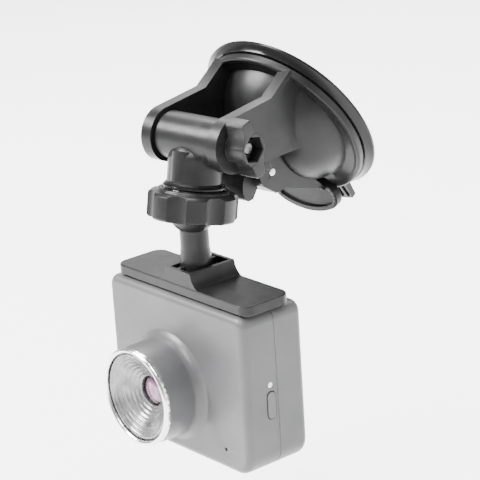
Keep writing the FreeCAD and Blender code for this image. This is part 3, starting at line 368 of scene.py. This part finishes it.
def dress_nodes():
    """Gives each CAD node its material, smooth faces and small rounds on its sharp edges."""
    for part in frame["record"]["subparts"]:
        name = part["node"]
        node = NODES[name]
        node.data.materials.clear()
        node.data.materials.append(
            SPECIAL_MATERIALS.get(name) or MATERIALS[part["material_slot"]])
        weld = node.modifiers.new("weld", "WELD")
        weld.merge_threshold = WELD_MM * MM
        bevel = node.modifiers.new("bevel", "BEVEL")
        bevel.width = EDGE_ROUNDS.get(name, COMMON_ROUND) * MM
        bevel.segments = 2
        bevel.limit_method = "ANGLE"
        bevel.angle_limit = math.radians(SHARP_ANGLE)
        bevel.harden_normals = True
        normals = node.modifiers.new("normals", "WEIGHTED_NORMAL")
        normals.keep_sharp = True
        for face in node.data.polygons:
            face.use_smooth = True


# ---------------------------------------------------------------- printed and moulded details

def flat_frame(outward):
    """Rotation whose Z is a direction across the ground and whose Y is up."""
    right = Vector((0, 0, 1)).cross(outward)
    return Matrix((right, Vector((0, 0, 1)), outward)).transposed().to_4x4()


def outer_point(name, outward):
    """Middle of a node's face that looks in a direction."""
    low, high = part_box(name)
    middle = (low + high) / 2
    top = max(vertex.co.dot(outward) for vertex in NODES[name].data.vertices)
    return middle + outward * (top - middle.dot(outward))


def raised_loop(name, outer, inner, place, height, body, slot):
    """Thin raised band between two closed outlines with the same number of points.

    Its profile runs over the band as pairs of a share of the width and a share of the height.
    """
    mesh = bmesh.new()
    rows = []
    for across, level in ((1, 0), (1, 0.7), (0.85, 1), (0.15, 1), (0, 0.7), (0, 0)):
        outline = [near.lerp(far, across) for near, far in zip(inner, outer)]
        rows.append([mesh.verts.new((*point, level * height)) for point in outline])
    for near, far in zip(rows, rows[1:]):
        for index in range(len(near)):
            after = (index + 1) % len(near)
            mesh.faces.new((near[index], near[after], far[after], far[index]))
    bmesh.ops.recalc_face_normals(mesh, faces=mesh.faces)
    data = bpy.data.meshes.new(name)
    mesh.to_mesh(data)
    mesh.free()
    for face in data.polygons:
        face.use_smooth = True
    data.materials.append(MATERIALS[slot])
    piece = bpy.data.objects.new(name, data)
    piece.matrix_world = place
    bpy.context.scene.collection.objects.link(piece)
    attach(piece, body)


def regular(count, radius, turn=0.0):
    """Corners of a regular outline, as 2-D points; turn is in radians."""
    steps = [turn + 2 * math.pi * index / count for index in range(count)]
    return [Vector((radius * math.cos(step), radius * math.sin(step))) for step in steps]


def rounded_box(wide, high, corner, steps=6):
    """Outline of a rectangle with rounded corners, as 2-D points."""
    points = []
    for quarter, (x, y) in enumerate(((1, 1), (-1, 1), (-1, -1), (1, -1))):
        middle = Vector((x * (wide / 2 - corner), y * (high / 2 - corner)))
        for step in range(steps + 1):
            angle = math.radians(90 * (quarter + step / steps))
            points.append(middle + corner * Vector((math.cos(angle), math.sin(angle))))
    return points


def make_button_marks():
    """Plain raised marks on the four menu buttons: a ring, two arrows and a square.

    Each shape is its number of corners and the angle of its first corner.
    """
    shapes = {
        "menu_button_1": (32, 0), "menu_button_2": (3, 90),
        "menu_button_3": (3, -90), "menu_button_4": (4, 45)}
    turn = flat_frame(OUTWARD)
    for name, (count, angle) in shapes.items():
        outer = regular(count, MARK_RADIUS, math.radians(angle))
        inner = [point * (1 - MARK_LINE / MARK_RADIUS) for point in outer]
        place = Matrix.Translation(outer_point(name, OUTWARD)) @ turn
        raised_loop(name + "_mark", outer, inner, place, MARK_HEIGHT, name, "light_pipe")


def make_screen_border():
    """Printed line on the window, around the part of the display that lights up."""
    low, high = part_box("display_window")
    wide = (high - low).xy.length * BORDER_WIDE
    tall = (high.z - low.z) * BORDER_TALL
    place = Matrix.Translation(outer_point("display_window", OUTWARD)) @ flat_frame(OUTWARD)
    outer = rounded_box(wide, tall, BORDER_CORNER)
    inner = rounded_box(
        wide - 2 * BORDER_LINE, tall - 2 * BORDER_LINE, BORDER_CORNER - BORDER_LINE)
    raised_loop(
        "screen_border", outer, inner, place, BORDER_HEIGHT, "camera", "screen_black")


# ---------------------------------------------------------------- stage and camera

def make_stage():
    """Pale round floor, level and far wider than any view of the object."""
    floor_height = CAD_BOX[0].z - FLOOR_GAP
    mesh = bmesh.new()
    rim = regular(FLOOR_CORNERS, FLOOR_RADIUS)
    mesh.faces.new([mesh.verts.new((*point, floor_height)) for point in rim])
    data = bpy.data.meshes.new("floor")
    mesh.to_mesh(data)
    mesh.free()
    material, _, shader = new_material("floor", grey(0.9), 0.9)
    shader.inputs["Specular IOR Level"].default_value = 0.1
    shader.inputs["Emission Color"].default_value = (1, 1, 1, 1)
    shader.inputs["Emission Strength"].default_value = FLOOR_GLOW
    data.materials.append(material)
    floor = bpy.data.objects.new("floor", data)
    bpy.context.scene.collection.objects.link(floor)


def direction(azimuth, elevation):
    """Unit vector from the object's middle; azimuth 0 is the side that faces -Y."""
    a, e = math.radians(azimuth), math.radians(elevation)
    return Vector((math.sin(a) * math.cos(e), -math.cos(a) * math.cos(e), math.sin(e)))


def soft_light(name, azimuth, elevation, distance, size, power, target):
    """Square area light aimed at the object's middle."""
    back = direction(azimuth, elevation)
    data = bpy.data.lights.new(name, "AREA")
    data.size = size
    data.energy = power
    light = bpy.data.objects.new(name, data)
    light.location = target + back * distance
    light.rotation_mode = "QUATERNION"
    light.rotation_quaternion = (-back).to_track_quat("-Z", "Y")
    bpy.context.scene.collection.objects.link(light)


def make_lights(target):
    """The soft lights, in their places around the camera's viewing direction."""
    for name, turn, elevation, distance, size, power in LIGHTS:
        soft_light(name, VIEW_AZIMUTH + turn, elevation, distance, size, power, target)


def make_sky():
    """White surroundings, brightest at the horizon and below it."""
    world = bpy.data.worlds.new("studio")
    world.use_nodes = True
    background = world.node_tree.nodes["Background"]
    background.inputs["Color"].default_value = (1, 1, 1, 1)
    place = world.node_tree.nodes.new("ShaderNodeTexCoord")
    parts = world.node_tree.nodes.new("ShaderNodeSeparateXYZ")
    height = world.node_tree.nodes.new("ShaderNodeMapRange")
    height.inputs["From Min"].default_value = GLOW_TOP
    height.inputs["From Max"].default_value = SKY_BOTTOM
    height.inputs["To Min"].default_value = HORIZON_STRENGTH
    height.inputs["To Max"].default_value = SKY_STRENGTH
    world.node_tree.links.new(place.outputs["Generated"], parts.inputs["Vector"])
    world.node_tree.links.new(parts.outputs["Z"], height.inputs["Value"])
    world.node_tree.links.new(height.outputs["Result"], background.inputs["Strength"])
    bpy.context.scene.world = world


def make_camera(target):
    """Camera at the viewing angle, rolled about its own line of sight."""
    back = direction(VIEW_AZIMUTH, VIEW_ELEVATION)
    data = bpy.data.cameras.new("camera")
    data.lens = LENS_MM
    data.sensor_width = SENSOR_WIDTH_MM
    camera = bpy.data.objects.new("camera", data)
    roll = Matrix.Rotation(math.radians(VIEW_ROLL), 4, back)
    turn = roll @ (-back).to_track_quat("-Z", "Y").to_matrix().to_4x4()
    camera.matrix_world = Matrix.Translation(target + back * VIEW_DISTANCE) @ turn
    bpy.context.scene.collection.objects.link(camera)
    bpy.context.scene.camera = camera


dress_nodes()
make_button_marks()
make_screen_border()
middle = (CAD_BOX[0] + CAD_BOX[1]) / 2
make_stage()
make_lights(middle)
make_sky()
make_camera(middle)
